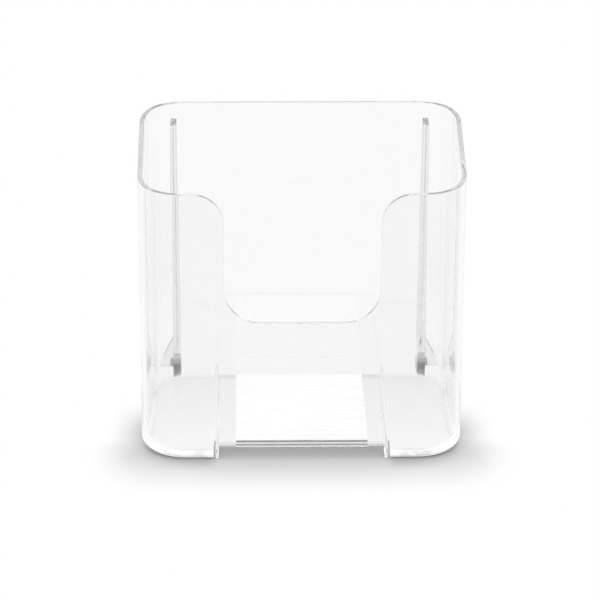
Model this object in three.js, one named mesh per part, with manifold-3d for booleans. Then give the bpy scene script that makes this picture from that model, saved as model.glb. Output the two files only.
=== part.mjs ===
// A clear moulded brochure holder that stands on a desk: a deep pocket with rounded corners, a finger
// notch in its front wall, a raised ribbed ramp between two rails in its base, and two fins behind that
// keep it upright. Its walls, floors, rails, ramp panels and fins meet face to face.
// Millimetres, +Z up, front towards -Y, origin on the desk below the middle of the whole holder.
import * as THREE from "three";
import { mergeVertices } from "three/addons/utils/BufferGeometryUtils.js";
import Module from "manifold-3d";

// Pocket
const width = 160;
const depth = 96;
const frontHeight = 142;
const backHeight = 154;
const cornerRadius = 22;
const wall = 2.4;
const sideDraft = 0.5; // how much each side leans in from the rim to the desk
const frontDraft = 0.8; // the same for the front
const rimLevel = 3; // stretch of level rim over the front wall and over the back wall

// Base
const floorThickness = 4.2;
const baseRound = 4.5; // round on the outside edge of the base
const floorFillet = 4; // round inside, where the side walls meet the floor
const endFillet = 1.2; // the same at the front and back walls

// Finger notch in the front wall
const notchWidth = 76;
const notchDepth = 67.6;
const notchShoulder = 16; // outward round at the rim
const notchCorner = 17.5; // inward round at the bottom

// Rails and the ramp between them
const railSpacing = 85; // centre to centre
const railThickness = 2.6;
const railHeight = 10;
const rampThickness = 2.5;
const rampLip = 9.4; // height of the ramp's upper face at the front wall
const ribbedWidth = 65;
const ribPitch = 5.4;
const ribHeight = 0.5;
const ribSlope = 0.72; // share of each rib that rises, the rest drops

// Fins behind the back wall
const finSpacing = 128; // centre to centre
const finThickness = 3.3; // at the top
const finFootThickness = 5; // on the desk, with the mould's draft between
const finDrop = 12.3; // from the rim down to the top of a fin
const finTopReach = 9;
const finReach = 20;
const rootSink = 0.1; // how far a fin's root reaches into the corner's wall
const footHeight = 13.3; // straight part of a fin's rear edge
const flareWidth = 13; // foot's triangular flare, outwards
const flareHeight = 17.6;
const flareThickness = 3;

// Shallow moulded panel on the outside of the back wall
const panelWidth = 55;
const panelHeight = 35.5;
const panelBottom = 13.5;
const panelRelief = 0.2;

const arcSteps = 9; // straight pieces in a quarter turn of the corners
const roundSteps = 4; // the same on each round of the base
const spare = 10; // how far a cutting solid runs past what it cuts

const wasm = await Module();
wasm.setup();

const frontFace = -depth / 2;
const backFace = depth / 2;
const frontInside = frontFace + frontDraft + wall; // at the floor, where the wall leans in most
const backInside = backFace - wall;
const railInside = (railSpacing - railThickness) / 2;
const railOutside = (railSpacing + railThickness) / 2;
const cornerStart = width / 2 - cornerRadius; // the walls part here, where the corners begin
const rampUnderLip = rampLip - rampThickness;
const rampUnderBack = floorThickness - rampThickness;
const finOuter = (finSpacing + finFootThickness) / 2;
const finTop = backHeight - finDrop;
const aroundCorner = Math.max(finOuter - cornerStart, 0);
const cornerFallsAway = cornerRadius - Math.sqrt(cornerRadius ** 2 - aroundCorner ** 2);
const finRoot = backFace - cornerFallsAway - rootSink; // the fins grow out of the rear corners from here

// A closed three.js geometry as a solid that can be joined and cut.
function solid(geometry) {
  const plain = geometry.clone();
  plain.deleteAttribute("normal");
  plain.deleteAttribute("uv");
  const merged = mergeVertices(plain, 1e-4);
  return new wasm.Manifold(
    new wasm.Mesh({
      numProp: 3,
      vertProperties: merged.attributes.position.array,
      triVerts: new Uint32Array(merged.index.array),
    }),
  );
}

// The box between two corners.
function block(x0, x1, y0, y1, z0, z1) {
  const box = new THREE.BoxGeometry(x1 - x0, y1 - y0, z1 - z0);
  return solid(box.translate((x0 + x1) / 2, (y0 + y1) / 2, (z0 + z1) / 2));
}

// A flat outline of [y, z] points, carried along X from x0 to x1.
function alongX(points, x0, x1) {
  const outline = new THREE.Shape(points.map(([y, z]) => new THREE.Vector2(y, z)));
  const bar = new THREE.ExtrudeGeometry(outline, { depth: x1 - x0, bevelEnabled: false });
  const turn = new THREE.Matrix4().makeBasis(
    new THREE.Vector3(0, 1, 0),
    new THREE.Vector3(0, 0, 1),
    new THREE.Vector3(1, 0, 0),
  );
  return solid(bar.applyMatrix4(turn).translate(x0, 0, 0));
}

// A flat outline in X and Z, carried along Y from y0 to y1.
function alongY(outline, y0, y1) {
  const shape = { depth: y1 - y0, bevelEnabled: false, curveSegments: 2 * arcSteps };
  const bar = new THREE.ExtrudeGeometry(outline, shape);
  return solid(bar.rotateX(Math.PI / 2).translate(0, y1, 0));
}

// One level section of the pocket: a rectangle with round corners, drawn in from the rim's outline by one
// amount at the sides and another at the front and back.
function section(z, sideInset, endInset) {
  const halfWidth = width / 2 - sideInset - sideDraft * (1 - z / backHeight);
  const near = frontFace + endInset + frontDraft * (1 - z / frontHeight);
  const far = backFace - endInset;
  const across = cornerRadius - sideInset;
  const along = cornerRadius - endInset;
  const centres = [
    [halfWidth - across, near + along],
    [halfWidth - across, far - along],
    [across - halfWidth, far - along],
    [across - halfWidth, near + along],
  ];
  return centres.flatMap(([x, y], corner) =>
    Array.from({ length: arcSteps + 1 }, (_, step) => {
      const angle = (Math.PI / 2) * (corner - 1 + step / arcSteps);
      return new THREE.Vector3(x + across * Math.cos(angle), y + along * Math.sin(angle), z);
    }),
  );
}

// How far a round in a corner stands out from the wall, at a height above where the round starts.
function standsOut(radius, height) {
  return height < radius ? radius - Math.sqrt(radius ** 2 - (radius - height) ** 2) : 0;
}

// The closed body through a stack of sections that have as many points each.
function loft(sections) {
  const sides = sections[0].length;
  const points = sections.flat();
  const bottom = points.length;
  const top = bottom + 1;
  const faces = [];
  for (let level = 0; level + 1 < sections.length; level++)
    for (let i = 0; i < sides; i++) {
      const a = level * sides + i;
      const b = level * sides + ((i + 1) % sides);
      faces.push(a, b, b + sides, a, b + sides, a + sides);
    }
  const last = (sections.length - 1) * sides;
  for (let i = 0; i < sides; i++) {
    const j = (i + 1) % sides;
    faces.push(bottom, j, i, top, last + i, last + j);
  }
  const middle = (ring) => ring.reduce((sum, p) => sum.add(p), new THREE.Vector3()).divideScalar(sides);
  points.push(middle(sections[0]), middle(sections[sections.length - 1]));
  return solid(new THREE.BufferGeometry().setFromPoints(points).setIndex(faces));
}

// The pocket's outside or inside: it starts at a height, rounds into the walls and runs up past the rim.
function pocketBody(start, inset, sideRound, endRound) {
  const heights = new Set();
  for (const round of [sideRound, endRound])
    for (let step = 0; step <= roundSteps; step++)
      heights.add(round * (1 - Math.cos((Math.PI / 2) * (step / roundSteps))));
  const sections = [...heights].sort((a, b) => a - b).map((height) => {
    const sideInset = inset + standsOut(sideRound, height);
    const endInset = inset + standsOut(endRound, height);
    return section(start + height, sideInset, endInset);
  });
  sections.push(section(backHeight, inset, inset));
  if (inset) sections.push(section(backHeight + spare, inset, inset));
  return loft(sections);
}

// Everything above the rim, which is level over the front and back walls and climbs between them.
function aboveRim() {
  const clear = backHeight + 2 * spare;
  const climb = [
    [frontFace - spare, frontHeight],
    [frontFace + rimLevel, frontHeight],
    [backFace - rimLevel, backHeight],
  ];
  return alongX([...climb, [backFace - rimLevel, clear], [frontFace - spare, clear]], -width, width);
}

// The finger notch: straight sides, round shoulders at the rim and round corners at the bottom.
function notch() {
  const side = notchWidth / 2;
  const bottom = frontHeight - notchDepth;
  const shoulderZ = frontHeight - notchShoulder;
  const cornerX = side - notchCorner;
  const cornerZ = bottom + notchCorner;
  const shoulderX = side + notchShoulder;
  const outline = new THREE.Shape();
  outline.moveTo(-shoulderX, frontHeight + spare);
  outline.lineTo(-shoulderX, frontHeight);
  outline.absarc(-shoulderX, shoulderZ, notchShoulder, Math.PI / 2, 0, true);
  outline.absarc(-cornerX, cornerZ, notchCorner, Math.PI, 1.5 * Math.PI, false);
  outline.absarc(cornerX, cornerZ, notchCorner, 1.5 * Math.PI, 2 * Math.PI, false);
  outline.absarc(shoulderX, shoulderZ, notchShoulder, Math.PI, Math.PI / 2, true);
  outline.lineTo(shoulderX, frontHeight + spare);
  return alongY(outline, frontFace - spare, frontFace + cornerRadius);
}

// The ramp's long section: flat underneath, and plain or ribbed on top. The ribs stop short of both walls.
function rampSection(ribbed) {
  const run = backInside - frontInside;
  const top = (y) => floorThickness + ((rampLip - floorThickness) * (backInside - y)) / run;
  const points = [
    [frontInside, rampUnderLip],
    [backInside, rampUnderBack],
    [backInside, floorThickness],
  ];
  const ribs = ribbed ? Math.floor(run / ribPitch) : 0;
  const margin = (run - ribs * ribPitch) / 2;
  for (let rib = 0; rib < ribs; rib++) {
    const foot = backInside - margin - rib * ribPitch;
    const crest = foot - ribPitch * ribSlope;
    points.push([foot, top(foot)], [crest, top(crest) + ribHeight]);
  }
  if (ribbed) points.push([frontInside + margin, top(frontInside + margin)]);
  points.push([frontInside, rampLip]);
  return points;
}

// A wedge as thick as a fin at each height. side is -1 on the left and 1 on the right.
function finWedge(side) {
  const x = (side * finSpacing) / 2;
  const half = finThickness / 2;
  const footHalf = finFootThickness / 2;
  const outline = new THREE.Shape();
  outline.moveTo(x - footHalf, 0);
  outline.lineTo(x + footHalf, 0);
  outline.lineTo(x + half, finTop);
  outline.lineTo(x - half, finTop);
  return alongY(outline, finRoot, depth);
}

// A fin with its foot's flare on the outside.
function fin(side) {
  const x = (side * finSpacing) / 2;
  const outer = x + (side * finFootThickness) / 2;
  const rear = backFace + finReach;
  const sideOn = [
    [finRoot, -spare],
    [rear, -spare],
    [rear, footHeight],
    [backFace + finTopReach, finTop],
    [finRoot, finTop],
  ];
  const flare = new THREE.Shape();
  flare.moveTo(x, 0);
  flare.lineTo(outer + side * flareWidth, 0);
  flare.lineTo(x, flareHeight * (1 + finFootThickness / 2 / flareWidth));
  const foot = alongY(flare, rear - flareThickness, rear);
  return finWedge(side).add(foot).intersect(alongX(sideOn, -width, width));
}

const outside = pocketBody(0, 0, baseRound, baseRound);
const inside = pocketBody(floorThickness, wall, floorFillet, endFillet);
const clearFloor = Math.max(railHeight, floorThickness + floorFillet);
const betweenRails = block(-railInside, railInside, frontInside, backInside, -spare, clearFloor);
const mouthEnd = frontInside + spare; // the cuts under the front wall and between the rails overlap
const underFront = block(-railInside, railInside, frontFace - spare, mouthEnd, -spare, rampUnderLip);
const panelSide = panelWidth / 2;
const panelTop = panelBottom + panelHeight;
const panelFace = backFace - panelRelief;
const panel = block(-panelSide, panelSide, panelFace, depth, panelBottom, panelTop);
const leftBar = block(-railOutside, -railInside, frontFace, backFace, -spare, railHeight);
const rightBar = block(railInside, railOutside, frontFace, backFace, -spare, railHeight);

const moulding = outside
  .subtract(inside)
  .subtract(aboveRim())
  .subtract(notch())
  .subtract(panel)
  .subtract(betweenRails)
  .subtract(underFront)
  .subtract(leftBar)
  .subtract(rightBar)
  .subtract(finWedge(-1))
  .subtract(finWedge(1));

const underLeft = block(-width, -railOutside, -depth, depth, -spare, floorThickness);
const underRight = block(railOutside, width, -depth, depth, -spare, floorThickness);
const walls = moulding.subtract(underLeft).subtract(underRight);
const pocketTop = backHeight + spare;
const between = frontFace + cornerRadius;
const behind = backFace - cornerRadius;

const clear = { color: 0xf2f4f5, roughness: 0.06, metalness: 0, transparent: true, opacity: 0.25 };
const ribbedClear = { color: 0xfafbfb, roughness: 0.3, metalness: 0, transparent: true, opacity: 0.8 };

const holder = new THREE.Group();
const moulded = new THREE.Group();
moulded.position.y = -finReach / 2; // brings the origin below the middle of pocket and fins together
holder.add(moulded);

function add(name, body, finish = clear) {
  const mesh = body.getMesh();
  const geometry = new THREE.BufferGeometry();
  geometry.setAttribute("position", new THREE.BufferAttribute(mesh.vertProperties, 3));
  geometry.setIndex(new THREE.BufferAttribute(mesh.triVerts, 1));
  const flat = geometry.toNonIndexed();
  flat.computeVertexNormals();
  const piece = new THREE.Mesh(flat, new THREE.MeshStandardMaterial(finish));
  piece.name = name;
  moulded.add(piece);
}

add("front_wall", walls.intersect(block(-cornerStart, cornerStart, -depth, between, -spare, pocketTop)));
add("back_wall", walls.intersect(block(-cornerStart, cornerStart, behind, depth, -spare, pocketTop)));
add("left_side_wall", walls.intersect(block(-width, -cornerStart, -depth, depth, -spare, pocketTop)));
add("right_side_wall", walls.intersect(block(cornerStart, width, -depth, depth, -spare, pocketTop)));
add("left_floor", moulding.intersect(underLeft));
add("right_floor", moulding.intersect(underRight));
add("left_rail", leftBar.intersect(outside));
add("right_rail", rightBar.intersect(outside));
add("ribbed_ramp", alongX(rampSection(true), -ribbedWidth / 2, ribbedWidth / 2), ribbedClear);
add("left_ramp_margin", alongX(rampSection(false), -railInside, -ribbedWidth / 2));
add("right_ramp_margin", alongX(rampSection(false), ribbedWidth / 2, railInside));
add("left_rear_fin", fin(-1));
add("right_rear_fin", fin(1));

export default holder;
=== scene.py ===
# A clear moulded brochure holder that stands on a desk, seen on a white table.
# Metres, +Z up, front towards -Y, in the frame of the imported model.
import math

import bmesh
import bpy
from mathutils import Matrix, Vector


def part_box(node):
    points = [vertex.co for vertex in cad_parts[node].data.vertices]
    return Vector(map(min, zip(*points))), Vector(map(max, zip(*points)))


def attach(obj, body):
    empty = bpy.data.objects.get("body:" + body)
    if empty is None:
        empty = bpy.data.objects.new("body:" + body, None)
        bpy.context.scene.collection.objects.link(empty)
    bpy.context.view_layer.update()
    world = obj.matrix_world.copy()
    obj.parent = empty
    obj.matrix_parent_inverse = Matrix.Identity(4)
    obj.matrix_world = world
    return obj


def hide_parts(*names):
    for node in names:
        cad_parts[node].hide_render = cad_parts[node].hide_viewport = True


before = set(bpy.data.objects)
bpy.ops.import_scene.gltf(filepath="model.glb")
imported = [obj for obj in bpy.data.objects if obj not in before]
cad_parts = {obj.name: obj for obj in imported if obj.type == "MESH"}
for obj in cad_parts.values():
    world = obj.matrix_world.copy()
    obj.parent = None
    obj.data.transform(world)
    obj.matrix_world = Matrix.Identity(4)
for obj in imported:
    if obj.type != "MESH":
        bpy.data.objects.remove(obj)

scene = bpy.context.scene
scene.view_settings.view_transform = "Standard"
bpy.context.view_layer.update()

# Camera
# A long lens looks at the front of the holder from a little above, almost square on. Its place comes from
# the same fit to the photograph as the holder's sizes.
front_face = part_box("front_wall")[0].y
back_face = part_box("back_wall")[1].y
camera_pitch = math.radians(23.775)
camera_yaw = math.radians(1.026)
camera_roll = math.radians(0.228)
camera_distance = 1.8148
camera_target = Vector((-0.00035, (front_face + back_face) / 2, 0.0658))

camera_data = bpy.data.cameras.new("camera")
camera_data.lens = 217.7
camera_data.sensor_width = 36
camera_data.clip_end = 20
camera = bpy.data.objects.new("camera", camera_data)
forward = Vector((
    math.sin(camera_yaw) * math.cos(camera_pitch),
    math.cos(camera_yaw) * math.cos(camera_pitch),
    -math.sin(camera_pitch),
))
level = Vector((math.cos(camera_yaw), -math.sin(camera_yaw), 0))
upright = level.cross(forward)
right = level * math.cos(camera_roll) + upright * math.sin(camera_roll)
up = upright * math.cos(camera_roll) - level * math.sin(camera_roll)
turn = Matrix((right, up, -forward)).transposed().to_4x4()
camera.matrix_world = Matrix.Translation(camera_target - forward * camera_distance) @ turn
scene.collection.objects.link(camera)
scene.camera = camera

# Table
# A wide matt white sheet that the holder stands on. It glows an even white, and the holder's soft contact
# shadow is painted into that glow, but not where it is seen through the clear plastic or mirrored in it.


class Signal:
    """One socket of a shader. Arithmetic on it adds Math nodes."""

    def __init__(self, shader, socket):
        self.shader = shader
        self.socket = socket

    def maths(self, operation, first, second):
        return self.shader.node("ShaderNodeMath", {"operation": operation}, {0: first, 1: second})

    def __add__(self, other):
        return self.maths("ADD", self, other)

    def __radd__(self, other):
        return self.maths("ADD", other, self)

    def __sub__(self, other):
        return self.maths("SUBTRACT", self, other)

    def __rsub__(self, other):
        return self.maths("SUBTRACT", other, self)

    def __mul__(self, other):
        return self.maths("MULTIPLY", self, other)

    def __rmul__(self, other):
        return self.maths("MULTIPLY", other, self)

    def __abs__(self):
        return self.shader.node("ShaderNodeMath", {"operation": "ABSOLUTE"}, {0: self})


class Shader:
    """The node tree of a material or world, started empty."""

    def __init__(self, owner):
        owner.use_nodes = True
        self.tree = owner.node_tree
        self.tree.nodes.clear()

    def node(self, kind, settings=None, sockets=None, out=0):
        made = self.tree.nodes.new(kind)
        for name, value in (settings or {}).items():
            if name == "stops":
                while len(made.color_ramp.elements) < len(value):
                    made.color_ramp.elements.new(0.5)
                for stop, (place, shade) in zip(made.color_ramp.elements, value):
                    stop.position = place
                    stop.color = (shade, shade, shade, 1)
            else:
                setattr(made, name, value)
        for name, value in (sockets or {}).items():
            if isinstance(value, Signal):
                self.tree.links.new(value.socket, made.inputs[name])
            else:
                made.inputs[name].default_value = value
        return Signal(self, made.outputs[out]) if len(made.outputs) else None

    def axis(self, place, name):
        """One coordinate of a place."""
        return self.node("ShaderNodeSeparateXYZ", None, {0: place}, out=name)

    def greater(self, first, second):
        """The greater of two values."""
        return self.node("ShaderNodeMath", {"operation": "MAXIMUM"}, {0: first, 1: second})

    def ramp(self, value, span, low, high, smooth=True):
        """A value that goes from low to high while the given one crosses the span."""
        return self.node(
            "ShaderNodeMapRange",
            {"interpolation_type": "SMOOTHSTEP" if smooth else "LINEAR"},
            {"Value": value, "From Min": span[0], "From Max": span[1], "To Min": low, "To Max": high},
        )

    def plastic_rays(self):
        """1 for rays that come from plastic or gloss."""
        glossy = self.node("ShaderNodeLightPath", out="Is Glossy Ray")
        through = self.node("ShaderNodeLightPath", out="Is Transmission Ray")
        return self.greater(glossy, through)


def mesh_piece(name, points, faces):
    """A mesh object of its own, with its faces turned outwards."""
    mesh = bpy.data.meshes.new(name)
    mesh.from_pydata([tuple(p) for p in points], [], faces)
    shape = bmesh.new()
    shape.from_mesh(mesh)
    bmesh.ops.recalc_face_normals(shape, faces=shape.faces)
    shape.to_mesh(mesh)
    shape.free()
    piece = bpy.data.objects.new(name, mesh)
    scene.collection.objects.link(piece)
    return piece


table_reach = 6.0
sheet_corners = [(-table_reach, -table_reach, 0), (table_reach, -table_reach, 0)]
sheet_corners += [(table_reach, table_reach, 0), (-table_reach, table_reach, 0)]
table = mesh_piece("table_sheet", sheet_corners, [(0, 1, 2, 3)])

# The painted contact shadow. Spans give where it changes, outwards from the middle or backwards from
# the front.
shadow_reach = 0.044  # how far it reaches in front of the holder
shadow_side_reach = 0.0195  # how far it reaches at the sides and the rear
shadow_corner_reach = 0.004  # how much further it reaches in front of the round corners
shadow_stops = [(0.0, 0.36), (0.5, 0.6), (0.82, 0.89), (0.96, 1.0)]
corner_depth = 0.65  # how much deeper it is in front of the round corners
corner_span = (0.055, 0.085)
side_span = (front_face, front_face + 0.028)
side_fade_span = (front_face + 0.030, front_face + 0.070)
shadow_end_span = (0.086, 0.110)
touch_reach = 0.013  # the darker line close to where the holder touches the sheet
touch_depth = 0.55
touch_span = (0.041, 0.047)


def contact_shadow(shader, off_middle, backwards):
    """The painted soft shadow round the foot of the holder, deepest in front of it."""
    beside = shader.ramp(off_middle, corner_span, 0.0, 1.0)
    behind = shader.ramp(backwards, side_span, 0.0, 1.0)
    reach = shadow_reach + beside * (1 - behind) * shadow_corner_reach
    reach = reach - beside * behind * (shadow_reach - shadow_side_reach)
    occlusion = "ShaderNodeAmbientOcclusion"
    open_sky = shader.node(occlusion, {"samples": 24}, {"Distance": reach}, out="AO")
    soft_shadow = shader.node("ShaderNodeValToRGB", {"stops": shadow_stops}, {0: open_sky})
    depth = 1 + beside * (1 - behind) * corner_depth
    depth = depth - beside * shader.ramp(backwards, side_fade_span, 0.0, 1.0)
    beyond = shader.ramp(off_middle, shadow_end_span, 0.0, 1.0)
    shadow = 1 - (1 - soft_shadow) * depth * (1 - beyond * (1 - behind))
    touching = shader.node(occlusion, {"samples": 16}, {"Distance": touch_reach}, out="AO")
    not_channel = shader.ramp(off_middle, touch_span, 0.0, touch_depth)
    return shadow * (1 - (1 - touching) * not_channel * (1 - beside))


# The sheet as it is seen through the plastic, with painted shade and light. For light that has run along
# inside a wall or fin for several bounces it is painted dimmer under the walls and fins, and seen through
# the floors it is painted brighter towards the front and a little dimmer at the rear.
wall_bounces = (4, 10)
side_shade = 0.6
side_inner_span = (0.050, 0.072)
side_outer_span = (0.079, 0.086)
side_front_span = (front_face + 0.006, front_face + 0.018)
side_rear_span = (back_face - 0.022, back_face - 0.004)
side_rear_share = 0.5
back_shade = 0.22
back_inner_span = (back_face - 0.006, back_face - 0.004)
back_outer_span = (back_face, back_face + 0.004)
fin_bounces = (4, 6)
fin_painted_dimming = 0.65
fin_inner_span = (0.0575, 0.0585)
fin_outer_span = (0.0695, 0.0705)
fin_front_span = (back_face + 0.006, back_face + 0.010)
fin_rear_span = (back_face + 0.028, back_face + 0.031)
floor_side_span = (0.072, 0.078)
floor_front_span = (front_face + 0.003, front_face + 0.012)
floor_rear_span = (back_face - 0.004, back_face)
floor_front_painted_gain = 0.12
floor_rear_painted_gain = -0.02
channel_painted_gain = 0.07
channel_span = (0.041, 0.043)


def level_through_plastic(shader, off_middle, backwards):
    """How bright the sheet is painted there, where 1 is plain white."""
    bounces = shader.node("ShaderNodeLightPath", out="Ray Depth")
    side_walls = shader.ramp(off_middle, side_inner_span, 0.0, side_shade)
    side_walls = side_walls * shader.ramp(off_middle, side_outer_span, 1.0, 0.0)
    side_walls = side_walls * shader.ramp(backwards, side_front_span, 0.0, 1.0)
    side_walls = side_walls * shader.ramp(backwards, side_rear_span, 1.0, side_rear_share)
    back_wall = shader.ramp(backwards, back_inner_span, 0.0, back_shade)
    walls = shader.greater(side_walls, back_wall) * shader.ramp(backwards, back_outer_span, 1.0, 0.0)
    walls = walls * shader.ramp(bounces, wall_bounces, 0.0, 1.0)
    fins = shader.ramp(off_middle, fin_inner_span, 0.0, fin_painted_dimming)
    fins = fins * shader.ramp(off_middle, fin_outer_span, 1.0, 0.0)
    fins = fins * shader.ramp(backwards, fin_front_span, 0.0, 1.0)
    fins = fins * shader.ramp(backwards, fin_rear_span, 1.0, 0.0)
    fins = fins * shader.ramp(bounces, fin_bounces, 0.0, 1.0)
    floor = shader.ramp(off_middle, floor_side_span, 1.0, 0.0)
    floor = floor * shader.ramp(backwards, floor_rear_span, 1.0, 0.0)
    floor = floor * shader.ramp(backwards, floor_front_span, 0.0, 1.0)
    depth_span = (front_face, back_face)
    painted_gain = floor * shader.ramp(backwards, depth_span, floor_front_painted_gain, floor_rear_painted_gain, smooth=False)
    painted_gain = painted_gain + floor * shader.ramp(off_middle, channel_span, channel_painted_gain, 0.0)
    return (1 + painted_gain) * (1 - shader.greater(walls, fins))


def white_sheet():
    finish = bpy.data.materials.new("white_sheet_painted_shadow")
    shader = Shader(finish)
    place = shader.node("ShaderNodeTexCoord", out="Object")
    off_middle = abs(shader.axis(place, "X"))
    backwards = shader.axis(place, "Y")
    shadow = contact_shadow(shader, off_middle, backwards)
    in_the_open = shader.node("ShaderNodeEmission", None, {"Color": shadow, "Strength": 1.0})
    level = level_through_plastic(shader, off_middle, backwards)
    through_plastic = shader.node("ShaderNodeEmission", None, {"Color": level, "Strength": 1.0})
    choice = {0: shader.plastic_rays(), 1: in_the_open, 2: through_plastic}
    shown = shader.node("ShaderNodeMixShader", None, choice)
    shader.node("ShaderNodeOutputMaterial", None, {"Surface": shown})
    return finish


table.data.materials.append(white_sheet())

# Studio light
# A round softbox hangs almost straight above, and a panel stands in front. The backdrop is white, and the
# plastic sees it fade into a dimmer ceiling, which draws the grey lines along its edges.
light_spread = math.radians(14)
softbox_level = 0.93
softbox_tilt = math.radians(-5)  # it hangs a little behind the holder
front_level = 0.45
front_tilt = math.radians(80)
fill_level = 0.5
ceiling_level = 0.3
ceiling_span = (0.1, 0.5)
shadow_casters = bpy.data.collections.new("not clear")  # the pieces that the lights don't shine through


def soft_light(name, level, tilt):
    """A wide soft light, itself unseen in the plastic."""
    data = bpy.data.lights.new(name, "SUN")
    data.angle = light_spread
    data.energy = level * math.pi
    light = bpy.data.objects.new(name, data)
    light.rotation_euler = (tilt, 0, 0)
    light.visible_glossy = False
    light.visible_transmission = False
    light.light_linking.blocker_collection = shadow_casters
    scene.collection.objects.link(light)


def white_studio():
    world = bpy.data.worlds.new("white_studio")
    shader = Shader(world)
    direction = shader.node("ShaderNodeTexCoord", out="Generated")
    ceiling = shader.ramp(shader.axis(direction, "Z"), ceiling_span, 1.0, ceiling_level)
    from_camera = shader.node("ShaderNodeLightPath", out="Is Camera Ray")
    indirect = shader.plastic_rays()
    unseen = (1 - from_camera) * (1 - indirect)
    strength = from_camera + (1 - from_camera) * indirect * ceiling + unseen * fill_level
    background = shader.node("ShaderNodeBackground", None, {"Color": (1, 1, 1, 1), "Strength": strength})
    shader.node("ShaderNodeOutputWorld", None, {"Surface": background})
    return world


soft_light("softbox", softbox_level, softbox_tilt)
soft_light("front_panel", front_level, front_tilt)
scene.world = white_studio()

most_bounces = 96  # light runs along inside the clear walls for many reflections before it leaves them
scene.cycles.max_bounces = most_bounces
scene.cycles.glossy_bounces = most_bounces
scene.cycles.transmission_bounces = most_bounces

# Pocket
# The four walls and the two side floors are one injection moulding of clear, colourless polystyrene. The
# walls lean in slightly towards the base, the rim is rounded off, and the front has a U-shaped finger
# notch.
pocket_half_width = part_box("right_side_wall")[1].x
front_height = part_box("front_wall")[1].z
back_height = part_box("back_wall")[1].z
floor_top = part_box("left_floor")[1].z
wall = 0.0024
corner_radius = 0.022
side_draft = 0.0005  # how far the side walls lean in at the base
front_draft = 0.0008
rim_level = 0.003  # how much of the rim is level at the front and at the back
rim_ease = 0.1  # the share of its climb that is eased in at each end
rim_edge = 0.0005  # the round of the rim's edges
base_round = 0.0045  # the round under the base
floor_fillet = 0.004  # the round inside, between the side walls and the floors
end_fillet = 0.0012  # and between the front or back wall and the floors
notch_half_width = 0.038
notch_depth = 0.0676
notch_shoulder = 0.016
notch_corner = 0.0175
corner_steps = 18
edge_steps = 4
round_steps = 8
wall_rows = 6


def rim_height(y):
    """The rim is level over the front and back walls and climbs evenly between them."""
    start = front_face + rim_level
    share = min(max((y - start) / (back_face - rim_level - start), 0), 1)
    if share < rim_ease:
        eased = share**2 / (2 * rim_ease)
    elif share > 1 - rim_ease:
        eased = 1 - rim_ease - (1 - share) ** 2 / (2 * rim_ease)
    else:
        eased = share - rim_ease / 2
    return front_height + (back_height - front_height) * eased / (1 - rim_ease)


def wall_point(across, along, angle, z, inset, end_inset=None):
    """A point of a level section: a rectangle with round corners, drawn in by inset, and at the
    front and back by an inset of their own where one is given."""
    end_inset = inset if end_inset is None else end_inset
    half = pocket_half_width - corner_radius - side_draft * (1 - z / back_height)
    near = front_face + corner_radius + front_draft * (1 - z / front_height)
    far = back_face - corner_radius
    x = across * half + (corner_radius - inset) * math.cos(angle)
    y = near + (far - near) * along + (corner_radius - end_inset) * math.sin(angle)
    return Vector((x, y, z))


def stands_out(radius, height):
    """How far a round in a corner stands out from the wall, at a height above where it starts."""
    return radius - math.sqrt(radius**2 - (radius - height) ** 2) if height < radius else 0


def arc(centre_x, centre_z, radius, start, end, steps):
    """Points of an arc in the front wall's plane, with the direction from its centre."""
    for step in range(steps + 1):
        angle = math.radians(start + (end - start) * step / steps)
        ray = (math.cos(angle), math.sin(angle))
        yield centre_x + radius * ray[0], centre_z + radius * ray[1], ray


def notch_half():
    """The front rim from the left corner to the middle of the notch: [x, z, inward x, inward z]."""
    half_front = pocket_half_width - corner_radius
    shoulder_x = -notch_half_width - notch_shoulder
    bottom = front_height - notch_depth
    points = [(x, front_height, 0, -1) for x in (-half_front, (shoulder_x - half_front) / 2)]
    shoulder_z = front_height - notch_shoulder
    for x, z, ray in arc(shoulder_x, shoulder_z, notch_shoulder, 90, 0, corner_steps):
        points.append((x, z, -ray[0], -ray[1]))
    side_steps = 6
    corner_z = bottom + notch_corner
    for step in range(1, side_steps):
        z = shoulder_z + (corner_z - shoulder_z) * step / side_steps
        points.append((-notch_half_width, z, -1, 0))
    last_side = len(points)
    corner_x = notch_corner - notch_half_width
    for x, z, ray in arc(corner_x, corner_z, notch_corner, 180, 270, corner_steps):
        points.append((x, z, *ray))
    points.append((corner_x / 2, bottom, 0, -1))
    points.append((0, bottom, 0, -1))
    return points, last_side


def pocket_columns():
    """The upright lines of the mesh, round the pocket: where each stands on a section, and its point
    on the front rim."""
    columns = []
    half_front = pocket_half_width - corner_radius
    rim, last_side = notch_half()
    for index, (x, z, inward_x, inward_z) in enumerate(rim):
        share = index / last_side
        foot = x if index >= last_side else -half_front + (half_front - notch_half_width) * share
        columns.append((foot / half_front, 0, -math.pi / 2, (x, z, inward_x, inward_z)))
    for across, along, angle, (x, z, inward_x, inward_z) in reversed(columns[:-1]):
        columns.append((-across, along, angle, (-x, z, -inward_x, inward_z)))
    straight_steps = 8
    for corner, (across, along) in enumerate([(1, 0), (1, 1), (-1, 1), (-1, 0)]):
        first = -math.pi / 2 + corner * math.pi / 2
        for step in range(0 if corner else 1, corner_steps + (0 if corner == 3 else 1)):
            columns.append((across, along, first + math.pi / 2 * step / corner_steps, None))
        next_place = [(1, 1), (-1, 1), (-1, 0), None][corner]
        for step in range(1, straight_steps if next_place else 0):
            share = step / straight_steps
            there = (across + (next_place[0] - across) * share, along + (next_place[1] - along) * share)
            columns.append((*there, first + math.pi / 2, None))
    return columns


def rim_point(column, depth, inset):
    """A point near the rim: depth below it along the wall, and inset into the wall's thickness."""
    across, along, angle, notch = column
    if notch:
        x, z, inward_x, inward_z = notch
        z += inward_z * depth
        return Vector((x + inward_x * depth, front_face + front_draft * (1 - z / front_height) + inset, z))
    y = wall_point(across, along, angle, back_height, inset).y
    return wall_point(across, along, angle, rim_height(y) - depth, inset)


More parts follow.
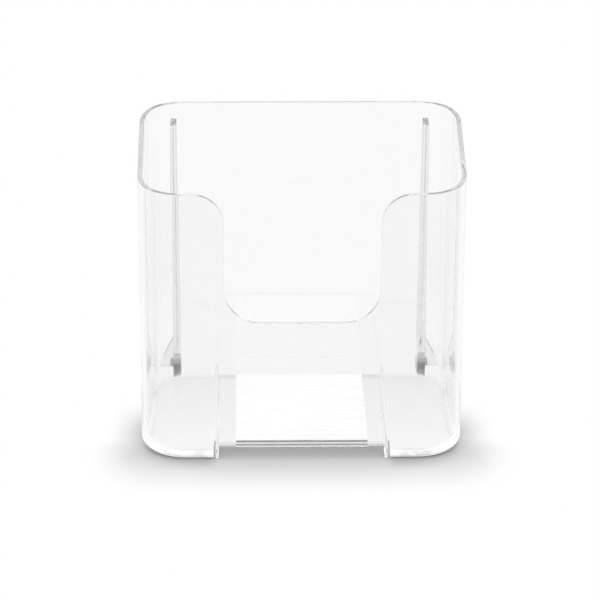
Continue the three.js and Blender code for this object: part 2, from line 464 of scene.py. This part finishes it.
def column_points(column):
    """One upright line: up the outside from the base, over the rim and down the inside to the floor."""
    place = column[:3]
    quarter = math.pi / 2
    points = []
    for step in range(round_steps + 1):
        angle = quarter * step / round_steps
        height, inset = base_round * (1 - math.cos(angle)), base_round * (1 - math.sin(angle))
        points.append(wall_point(*place, height, inset))
    foot, top = points[-1], rim_point(column, rim_edge, 0)
    points += [foot.lerp(top, row / wall_rows) for row in range(1, wall_rows + 1)]
    for step in range(1, edge_steps + 1):
        angle = quarter * step / edge_steps
        depth, inset = rim_edge * (1 - math.sin(angle)), rim_edge * (1 - math.cos(angle))
        points.append(rim_point(column, depth, inset))
    for step in range(edge_steps, -1, -1):
        angle = quarter * step / edge_steps
        depth, inset = rim_edge * (1 - math.sin(angle)), wall - rim_edge * (1 - math.cos(angle))
        points.append(rim_point(column, depth, inset))
    top, foot = points[-1], wall_point(*place, floor_top + floor_fillet, wall)
    points += [top.lerp(foot, row / wall_rows) for row in range(1, wall_rows + 1)]
    for step in range(2 * round_steps - 1, -1, -1):
        height = floor_fillet * (1 - math.cos(quarter * step / (2 * round_steps)))
        insets = [wall + stands_out(radius, height) for radius in (floor_fillet, end_fillet)]
        points.append(wall_point(*place, floor_top + height, *insets))
    return points


def pocket_mesh():
    """One closed skin: upright lines joined by faces, and a face below and above the base."""
    columns = [column_points(column) for column in pocket_columns()]
    rows = len(columns[0])
    faces = []
    for index in range(len(columns)):
        here, there = index * rows, (index + 1) % len(columns) * rows
        faces += [(here + row, there + row, there + row + 1, here + row + 1) for row in range(rows - 1)]
    faces.append([index * rows for index in range(len(columns))])
    faces.append([index * rows + rows - 1 for index in range(len(columns))])
    return mesh_piece("pocket", [point for column in columns for point in column], faces)


def prism(name, outline, start, end, axis="X"):
    """A flat outline carried along X (points are y, z) or along Y (points are x, z)."""
    count = len(outline)
    ends = [[(at, u, v) if axis == "X" else (u, at, v) for u, v in outline] for at in (start, end)]
    faces = [tuple(range(count)), tuple(range(count, 2 * count))]
    faces += [(i, (i + 1) % count, count + (i + 1) % count, count + i) for i in range(count)]
    return mesh_piece(name, ends[0] + ends[1], faces)


def cut(piece, tool, operation="DIFFERENCE"):
    """Cuts the tool's shape out of a piece, or joins it on, and takes the tool away."""
    modifier = piece.modifiers.new("cut", "BOOLEAN")
    modifier.operation = operation
    modifier.solver = "EXACT"
    modifier.object = tool
    apply_modifiers(piece)
    bpy.data.objects.remove(tool)


def apply_modifiers(piece):
    """Makes the shape that the modifiers give the piece's own."""
    view = bpy.context.evaluated_depsgraph_get()
    done = bpy.data.meshes.new_from_object(piece.evaluated_get(view))
    piece.modifiers.clear()
    old = piece.data
    piece.data = done
    bpy.data.meshes.remove(old)


crease_angle = math.radians(30)  # edges sharper than this stay crisp


def dress(piece, finish, nodes):
    """Smooth faces with crisp edges, the finish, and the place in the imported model."""
    piece.data.shade_smooth()
    piece.data.set_sharp_from_angle(angle=crease_angle)
    weighted = piece.modifiers.new("flat faces stay flat", "WEIGHTED_NORMAL")
    weighted.keep_sharp = True
    piece.data.materials.clear()
    piece.data.materials.append(finish)
    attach(piece, "root")
    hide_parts(*nodes)


polystyrene_ior = 1.57
clear_tone = 0.95
tone_low = (-0.006, -0.005, -0.004)  # how the tone wanders through the moulding
tone_high = (0.004, 0.005, 0.005)
flow_scale = 35.0
haze_scale = 400.0
# painted shade in patches on the round under the front wall
front_foot_painted_shade = 0.4
foot_patch_scale = 120.0
foot_patch_span = (0.4, 0.65)
foot_top_span = (0.0045, 0.0055)
foot_side_span = (0.0460, 0.0475)
foot_rear_span = (front_face + 0.0035, front_face + 0.0045)


def clear_plastic(name, tone, shade=None):
    """Clear plastic that lets tone of the light through at each surface, times the painted shade of the
    place.
    """
    finish = bpy.data.materials.new(name)
    shader = Shader(finish)
    place = shader.node("ShaderNodeTexCoord", out="Object")
    flow = shader.node("ShaderNodeTexNoise", None, {"Vector": place, "Scale": flow_scale, "Detail": 2.0})
    haze = shader.node("ShaderNodeTexNoise", None, {"Vector": place, "Scale": haze_scale, "Detail": 3.0})
    darker = (*(tone + step for step in tone_low), 1)
    lighter = (*(tone + step for step in tone_high), 1)
    tints = {"Factor": flow, 6: darker, 7: lighter}
    tint = shader.node("ShaderNodeMix", {"data_type": "RGBA"}, tints, out=2)
    if shade:
        scaled = {0: tint, "Scale": shade(shader, place)}
        tint = shader.node("ShaderNodeVectorMath", {"operation": "SCALE"}, scaled)
    normal = shader.node("ShaderNodeBump", None, {"Strength": 0.05, "Distance": 0.0002, "Height": flow})
    plastic = shader.node(
        "ShaderNodeBsdfPrincipled",
        None,
        {
            "Base Color": tint,
            "Roughness": 0.005 + haze * 0.02,
            "IOR": polystyrene_ior,
            "Transmission Weight": 1.0,
            "Normal": normal,
        },
    )
    shader.node("ShaderNodeOutputMaterial", None, {"Surface": plastic})
    return finish


def front_foot_shade(shader, place):
    """Painted shade: the round under the front wall is darkened in patches, for the shadowed sheet seen
    through it.
    """
    grain = {"Vector": place, "Scale": foot_patch_scale, "Detail": 2.0}
    patchy = shader.node("ShaderNodeTexNoise", None, grain)
    patches = shader.ramp(patchy, foot_patch_span, 0.0, front_foot_painted_shade)
    low = shader.ramp(shader.axis(place, "Z"), foot_top_span, 1.0, 0.0)
    low = low * shader.ramp(abs(shader.axis(place, "X")), foot_side_span, 0.0, 1.0)
    return 1 - patches * low * shader.ramp(shader.axis(place, "Y"), foot_rear_span, 1.0, 0.0)


clear_finish = clear_plastic("clear_polystyrene", clear_tone, front_foot_shade)

rail_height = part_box("left_rail")[1].z
rail_outside = -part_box("left_rail")[0].x
rail_inside = -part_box("left_rail")[1].x
front_inside = front_face + front_draft + wall
back_inside = back_face - wall
spare = 0.01  # how far a cutting shape stands out past what it cuts
mouth_round = 0.0020
mouth_steps = 5
ramp_thickness = 0.0025
ramp_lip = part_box("left_ramp_margin")[1].z
ramp_under_lip = ramp_lip - ramp_thickness
same_place = 1e-5

pocket = pocket_mesh()
floor_gap = [(front_inside, -spare), (back_inside, -spare)]
floor_gap += [(back_inside, rail_height), (front_inside, rail_height)]
cut(pocket, prism("floor_gap", floor_gap, -rail_outside, rail_outside))
mouth = [(front_face - spare, -spare), (front_inside + spare / 2, -spare)]
mouth += [(front_inside + spare / 2, ramp_under_lip), (front_face - spare, ramp_under_lip)]
cut(pocket, prism("channel_mouth", mouth, -rail_inside, rail_inside))


def at_mouth(edge):
    """The upright outside edges of the channel's mouth."""
    here, there = (vertex.co for vertex in edge.verts)
    if not edge.is_manifold or edge.calc_face_angle(0) < crease_angle:
        return False
    if max(here.y, there.y) > front_face + wall / 2 or max(here.z, there.z) > ramp_under_lip + same_place:
        return False
    return all(abs(abs(point.x) - rail_inside) < same_place for point in (here, there))


def round_mouth(piece):
    shape = bmesh.new()
    shape.from_mesh(piece.data)
    bmesh.ops.remove_doubles(shape, verts=shape.verts, dist=1e-6)
    edges = [edge for edge in shape.edges if at_mouth(edge)]
    bmesh.ops.bevel(shape, geom=edges, offset=mouth_round, segments=mouth_steps, profile=0.5, affect="EDGES")
    shape.to_mesh(piece.data)
    shape.free()


round_mouth(pocket)
foot = [(back_inside, 0), (back_face, 0), (back_face, 2 * base_round), (back_inside, 2 * base_round)]
cut(pocket, prism("foot", foot, -rail_inside, rail_inside), "UNION")

panel_half_width = 0.0275
panel_bottom = 0.0135
panel_top = 0.049
panel_relief = 0.0002
panel_face = back_face - panel_relief
panel = [(panel_face, panel_bottom), (back_face + panel_relief, panel_bottom - 2 * panel_relief)]
panel += [(back_face + panel_relief, panel_top + 2 * panel_relief), (panel_face, panel_top)]
cut(pocket, prism("panel", panel, -panel_half_width, panel_half_width))
walls_and_floors = ["front_wall", "back_wall", "left_side_wall", "right_side_wall"]
walls_and_floors += ["left_floor", "right_floor"]
dress(pocket, clear_finish, walls_and_floors)

# Rails
# Two low upright ribs run from front to back on either side of the ramp, moulded with the floors. Their
# upper edges are rounded.
seam = 0.00003  # hairline between parts of the moulding that meet


def rounded(corners, radii, steps=5):
    """A closed outline with each corner rounded off to its radius."""
    outline = []
    for index, corner in enumerate(corners):
        here = Vector(corner)
        back = (Vector(corners[index - 1]) - here).normalized()
        on = (Vector(corners[(index + 1) % len(corners)]) - here).normalized()
        radius = radii[index]
        if not radius:
            outline.append(here)
            continue
        half = back.angle(on) / 2
        centre = here + (back + on).normalized() * (radius / math.sin(half))
        first = here + back * (radius / math.tan(half)) - centre
        last = here + on * (radius / math.tan(half)) - centre
        for step in range(steps + 1):
            outline.append(centre + first.slerp(last, step / steps) * radius)
    return [tuple(point) for point in outline]


rail_round = 0.0005
rail_draft = 0.0005  # each side leans in by this much above the floor
rail_middle = (rail_inside + rail_outside) / 2
# painted shade at the rail's front end and along its upper edges
rail_end_painted_shade = 0.85
rail_end_span = (front_inside + 0.0001, front_inside + 0.0003)
rail_half_span = (rail_middle - 0.0001, rail_middle + 0.0002)
rail_line_painted_shade = 0.22
rail_line_span = (0.0002, 0.0005)
rail_line_height_span = (rail_height - 0.0010, rail_height - 0.0008)


def rail_shade(shader, place):
    """Painted shade: the outer half of the rail's front end is darkened, and fine dark lines run along its
    upper edges.
    """
    off_middle = abs(shader.axis(place, "X"))
    end = shader.ramp(shader.axis(place, "Y"), rail_end_span, 1.0, 0.0)
    end = end * shader.ramp(off_middle, rail_half_span, 0.0, rail_end_painted_shade)
    edge = (rail_outside - rail_inside) / 2 - rail_draft
    off_edge = abs(abs(off_middle - rail_middle) - edge)
    lines = shader.ramp(off_edge, rail_line_span, rail_line_painted_shade, 0.0)
    lines = lines * shader.ramp(shader.axis(place, "Z"), rail_line_height_span, 0.0, 1.0)
    return (1 - end) * (1 - lines)


rail_finish = clear_plastic("clear_polystyrene_rail_painted_shade", clear_tone, rail_shade)
for side, name in ((-1, "left_rail"), (1, "right_rail")):
    inner, outer = side * rail_inside, side * (rail_outside - seam)
    top = rail_height - seam
    corners = [(inner, 0), (outer, 0), (outer, floor_top), (outer - side * rail_draft, top)]
    corners += [(inner + side * rail_draft, top), (inner, floor_top)]
    outline = rounded(corners, [0, 0, 0, rail_round, rail_round, 0])
    rail = prism(name + "_moulding", outline, front_inside + seam, back_inside - seam, axis="Y")
    dress(rail, rail_finish, [name])

# Ramp margins
# Plain strips of the raised ramp on either side of its ribbed middle, of the same clear plastic. They join
# it to the rails, all in one moulding.
ramp_half_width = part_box("ribbed_ramp")[1].x


def ramp_top(y):
    return floor_top + (ramp_lip - floor_top) * (back_inside - y) / (back_inside - front_inside)


start, end = front_inside + seam, back_inside - seam
margin_outline = [(start, ramp_top(start) - ramp_thickness), (end, ramp_top(end) - ramp_thickness)]
margin_outline += [(end, ramp_top(end)), (start, ramp_top(start))]
for side, name in ((-1, "left_ramp_margin"), (1, "right_ramp_margin")):
    edges = sorted([side * (ramp_half_width + seam), side * (rail_inside - seam)])
    margin = prism(name + "_strip", margin_outline, *edges)
    dress(margin, clear_finish, [name])

# Ribbed ramp
# The middle of the ramp has fine sawtooth ribs across it that keep the leaflets from sliding. It is moulded
# with the rest, and its ribs and grain make the clear plastic read white.
rib_pitch = 0.0054
rib_height = 0.0005
rib_slope = 0.72  # the share of a rib that climbs, before it drops
rib_point = 0.0005  # how far a rib's ends come to a point
rib_sink = 0.0001  # how deep the ribs sit in the plate
ribs = math.floor((back_inside - front_inside) / rib_pitch)
rib_start = back_inside - (back_inside - front_inside - ribs * rib_pitch) / 2
rib_drop_span = (rib_slope, rib_slope + 0.08)
# painted shade in grey stripes where the ribs drop
rib_drop_painted_shade = 0.16
end_line = 0.0078  # the height of the fine painted dark line across the ramp's front end
end_line_painted_shade = 0.8
end_line_span = (0.0002, 0.0006)
end_face_span = (front_inside + 0.0001, front_inside + 0.0002)
# where the painted dark line along the top edge of the front end lies
top_edge_span = (ramp_lip - 0.0004, ramp_lip - 0.0002)
top_edge_depth_span = (front_inside + 0.0016, front_inside + 0.0022)
end_lines_painted_shade = 0.78


def ribbed_plastic():
    """White with a fine grain, and painted shade: grey stripes where the ribs drop, and dark lines at the
    front end.
    """
    finish = bpy.data.materials.new("ribbed_polystyrene_painted_shade")
    shader = Shader(finish)
    place = shader.node("ShaderNodeTexCoord", out="Object")
    grain = shader.node("ShaderNodeTexNoise", None, {"Vector": place, "Scale": 900.0, "Detail": 3.0})
    normal = shader.node("ShaderNodeBump", None, {"Strength": 0.1, "Distance": 0.0001, "Height": grain})
    height = shader.axis(place, "Z")
    backwards = shader.axis(place, "Y")
    line = shader.ramp(abs(height - end_line), end_line_span, end_line_painted_shade, 0.0)
    line = line * shader.ramp(backwards, end_face_span, 1.0, 0.0)
    top_edge = shader.ramp(height, top_edge_span, 0.0, 1.0)
    top_edge = top_edge * shader.ramp(backwards, top_edge_depth_span, 1.0, 0.0)
    dark = shader.greater(line, top_edge)
    along = (rib_start - backwards) * (1 / rib_pitch)
    along = shader.node("ShaderNodeMath", {"operation": "FRACT"}, {0: along})
    drop = shader.ramp(along, rib_drop_span, 0.0, 1.0)
    patchy = shader.node("ShaderNodeTexNoise", None, {"Vector": place, "Scale": 60.0, "Detail": 1.0})
    white = (1 - dark * end_lines_painted_shade) * (1 - drop * patchy * rib_drop_painted_shade)
    plastic = shader.node(
        "ShaderNodeBsdfPrincipled",
        None,
        {
            "Base Color": white,
            "Roughness": 0.3 + grain * 0.1,
            "IOR": polystyrene_ior,
            "Transmission Weight": 0.1,
            "Normal": normal,
        },
    )
    shader.node("ShaderNodeOutputMaterial", None, {"Surface": plastic})
    return finish


def ribbed_plate():
    """The ramp's plate, with its ribs as low bars on top that come to a point at each end."""
    plate = prism("ribbed_ramp_plate", margin_outline, -ramp_half_width, ramp_half_width)
    points = [vertex.co.copy() for vertex in plate.data.vertices]
    faces = [tuple(face.vertices) for face in plate.data.polygons]
    old = plate.data
    bpy.data.objects.remove(plate)
    bpy.data.meshes.remove(old)
    for rib in range(ribs):
        foot = rib_start - rib * rib_pitch
        crest = foot - rib_pitch * rib_slope
        heel = max(foot - rib_pitch, front_inside + seam)
        first = len(points)
        for side in (-1, 1):
            x = side * (ramp_half_width - rib_point)
            points += [(x, foot, ramp_top(foot) - rib_sink), (x, crest, ramp_top(crest) + rib_height)]
            points += [(x, heel, ramp_top(heel) - rib_sink)]
            points += [(side * (ramp_half_width + rib_point), crest, ramp_top(crest) + rib_sink)]
        for side in (0, 4):
            faces += [(first + side + i, first + side + (i + 1) % 3, first + side + 3) for i in range(3)]
        far = first + 4
        faces += [(first + i, first + (i + 1) % 3, far + (i + 1) % 3, far + i) for i in range(3)]
    return mesh_piece("ribbed_ramp_plate", points, faces)


ramp = ribbed_plate()
dress(ramp, ribbed_plastic(), ["ribbed_ramp"])
shadow_casters.objects.link(ramp)

# Rear fins
# Two tapering fins of the same clear plastic are moulded on behind the back wall and keep the holder
# upright. Each spreads into a triangular flare at its foot.
fin_thickness = 0.0033
fin_foot_thickness = 0.005
fin_middle = 0.064
fin_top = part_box("left_rear_fin")[1].z
fin_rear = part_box("left_rear_fin")[1].y
fin_top_rear = back_face + 0.009
foot_height = 0.0133  # the rear edge is upright up to here
flare_width = 0.013
flare_height = 0.0176
flare_thickness = 0.003
fin_edge = 0.0003
# the fins' tone is darker than the walls' clear tone, as painted shade
fin_tone_with_painted_shade = 0.885
fin_edge_span = (fin_foot_thickness / 2 + 0.0001, fin_foot_thickness / 2 + 0.0003)
fin_foot_painted_shade = 0.6
foot_top = 0.016  # where the painted shade on the foot ends on the front of the fin
foot_slant = 0.44  # and how fast that level drops towards the rear
foot_top_fade = (foot_top - 0.0007, foot_top)
foot_face_span = (0.3, 0.6)
fin_line_painted_shade = 0.2
line_span = (0.0002, 0.0005)


def behind_corner(x, z):
    """Where the outside of the rear corner lies, at that distance from the middle and that height."""
    centre = pocket_half_width - corner_radius - side_draft * (1 - z / back_height)
    return back_face - corner_radius + math.sqrt(corner_radius**2 - max(abs(x) - centre, 0) ** 2)


def fin_rear_at(z):
    share = max(z - foot_height, 0) / (fin_top - foot_height)
    return fin_rear + (fin_top_rear - fin_rear) * share


def fin_shade(shader, place):
    """Painted shade: the foot is darkened on faces that look forwards or backwards, and fine dark lines run
    up the fin's middle and edges."""
    height = shader.axis(place, "Z")
    off_middle = abs(abs(shader.axis(place, "X")) - fin_middle)
    half = fin_foot_thickness / 2 - height * ((fin_foot_thickness - fin_thickness) / 2 / fin_top)
    within = shader.ramp(off_middle, fin_edge_span, 1.0, 0.0)
    sidelong = abs(shader.axis(shader.node("ShaderNodeNewGeometry", out="Normal"), "X"))
    slant = height + (shader.axis(place, "Y") - back_face) * foot_slant
    foot = shader.ramp(slant, foot_top_fade, fin_foot_painted_shade, 0.0) * within
    foot = foot * shader.ramp(sidelong, foot_face_span, 1.0, 0.0)
    ridge = shader.ramp(off_middle, line_span, fin_line_painted_shade, 0.0)
    edges = shader.ramp(half - off_middle, line_span, fin_line_painted_shade, 0.0) * within
    return (1 - foot) * (1 - shader.greater(ridge, edges))


def round_edges(piece, radius, steps=3):
    modifier = piece.modifiers.new("edges", "BEVEL")
    modifier.width = radius
    modifier.segments = steps
    modifier.limit_method = "ANGLE"
    modifier.angle_limit = crease_angle
    apply_modifiers(piece)


fin_finish = clear_plastic("clear_polystyrene_fin_painted_shade", fin_tone_with_painted_shade, fin_shade)
for side, name in ((-1, "left_rear_fin"), (1, "right_rear_fin")):
    points = []
    for z in (0, foot_height, fin_top):
        half = (fin_foot_thickness + (fin_thickness - fin_foot_thickness) * z / fin_top) / 2
        inner, outer = side * (fin_middle - half), side * (fin_middle + half)
        points += [(x, behind_corner(x, z) + seam, z) for x in (inner, outer)]
        points += [(x, fin_rear_at(z), z) for x in (outer, inner)]
    faces = [(0, 1, 2, 3), (8, 9, 10, 11)]
    for low in (0, 4):
        high = low + 4
        faces += [(low + i, low + (i + 1) % 4, high + (i + 1) % 4, high + i) for i in range(4)]
    fin = mesh_piece(name + "_moulding", points, faces)
    middle = side * fin_middle
    flare_top = flare_height * (1 + fin_foot_thickness / 2 / flare_width)
    flare_foot = middle + side * (fin_foot_thickness / 2 + flare_width)
    flare_side = flare_foot + (middle - flare_foot) * foot_height / flare_top
    outline = [(middle, 0), (flare_foot, 0), (flare_side, foot_height)]
    outline += [(middle, flare_top), (middle, foot_height)]
    points = [(x, fin_rear - flare_thickness, z) for x, z in outline]
    points += [(x, fin_rear_at(z), z) for x, z in outline]
    faces = [(0, 1, 2, 3, 4), (5, 6, 7, 9), (7, 8, 9)]
    faces += [(i, (i + 1) % 5, 5 + (i + 1) % 5, 5 + i) for i in range(5)]
    cut(fin, mesh_piece("flare", points, faces), "UNION")
    round_edges(fin, fin_edge)
    dress(fin, fin_finish, [name])

bpy.context.view_layer.update()
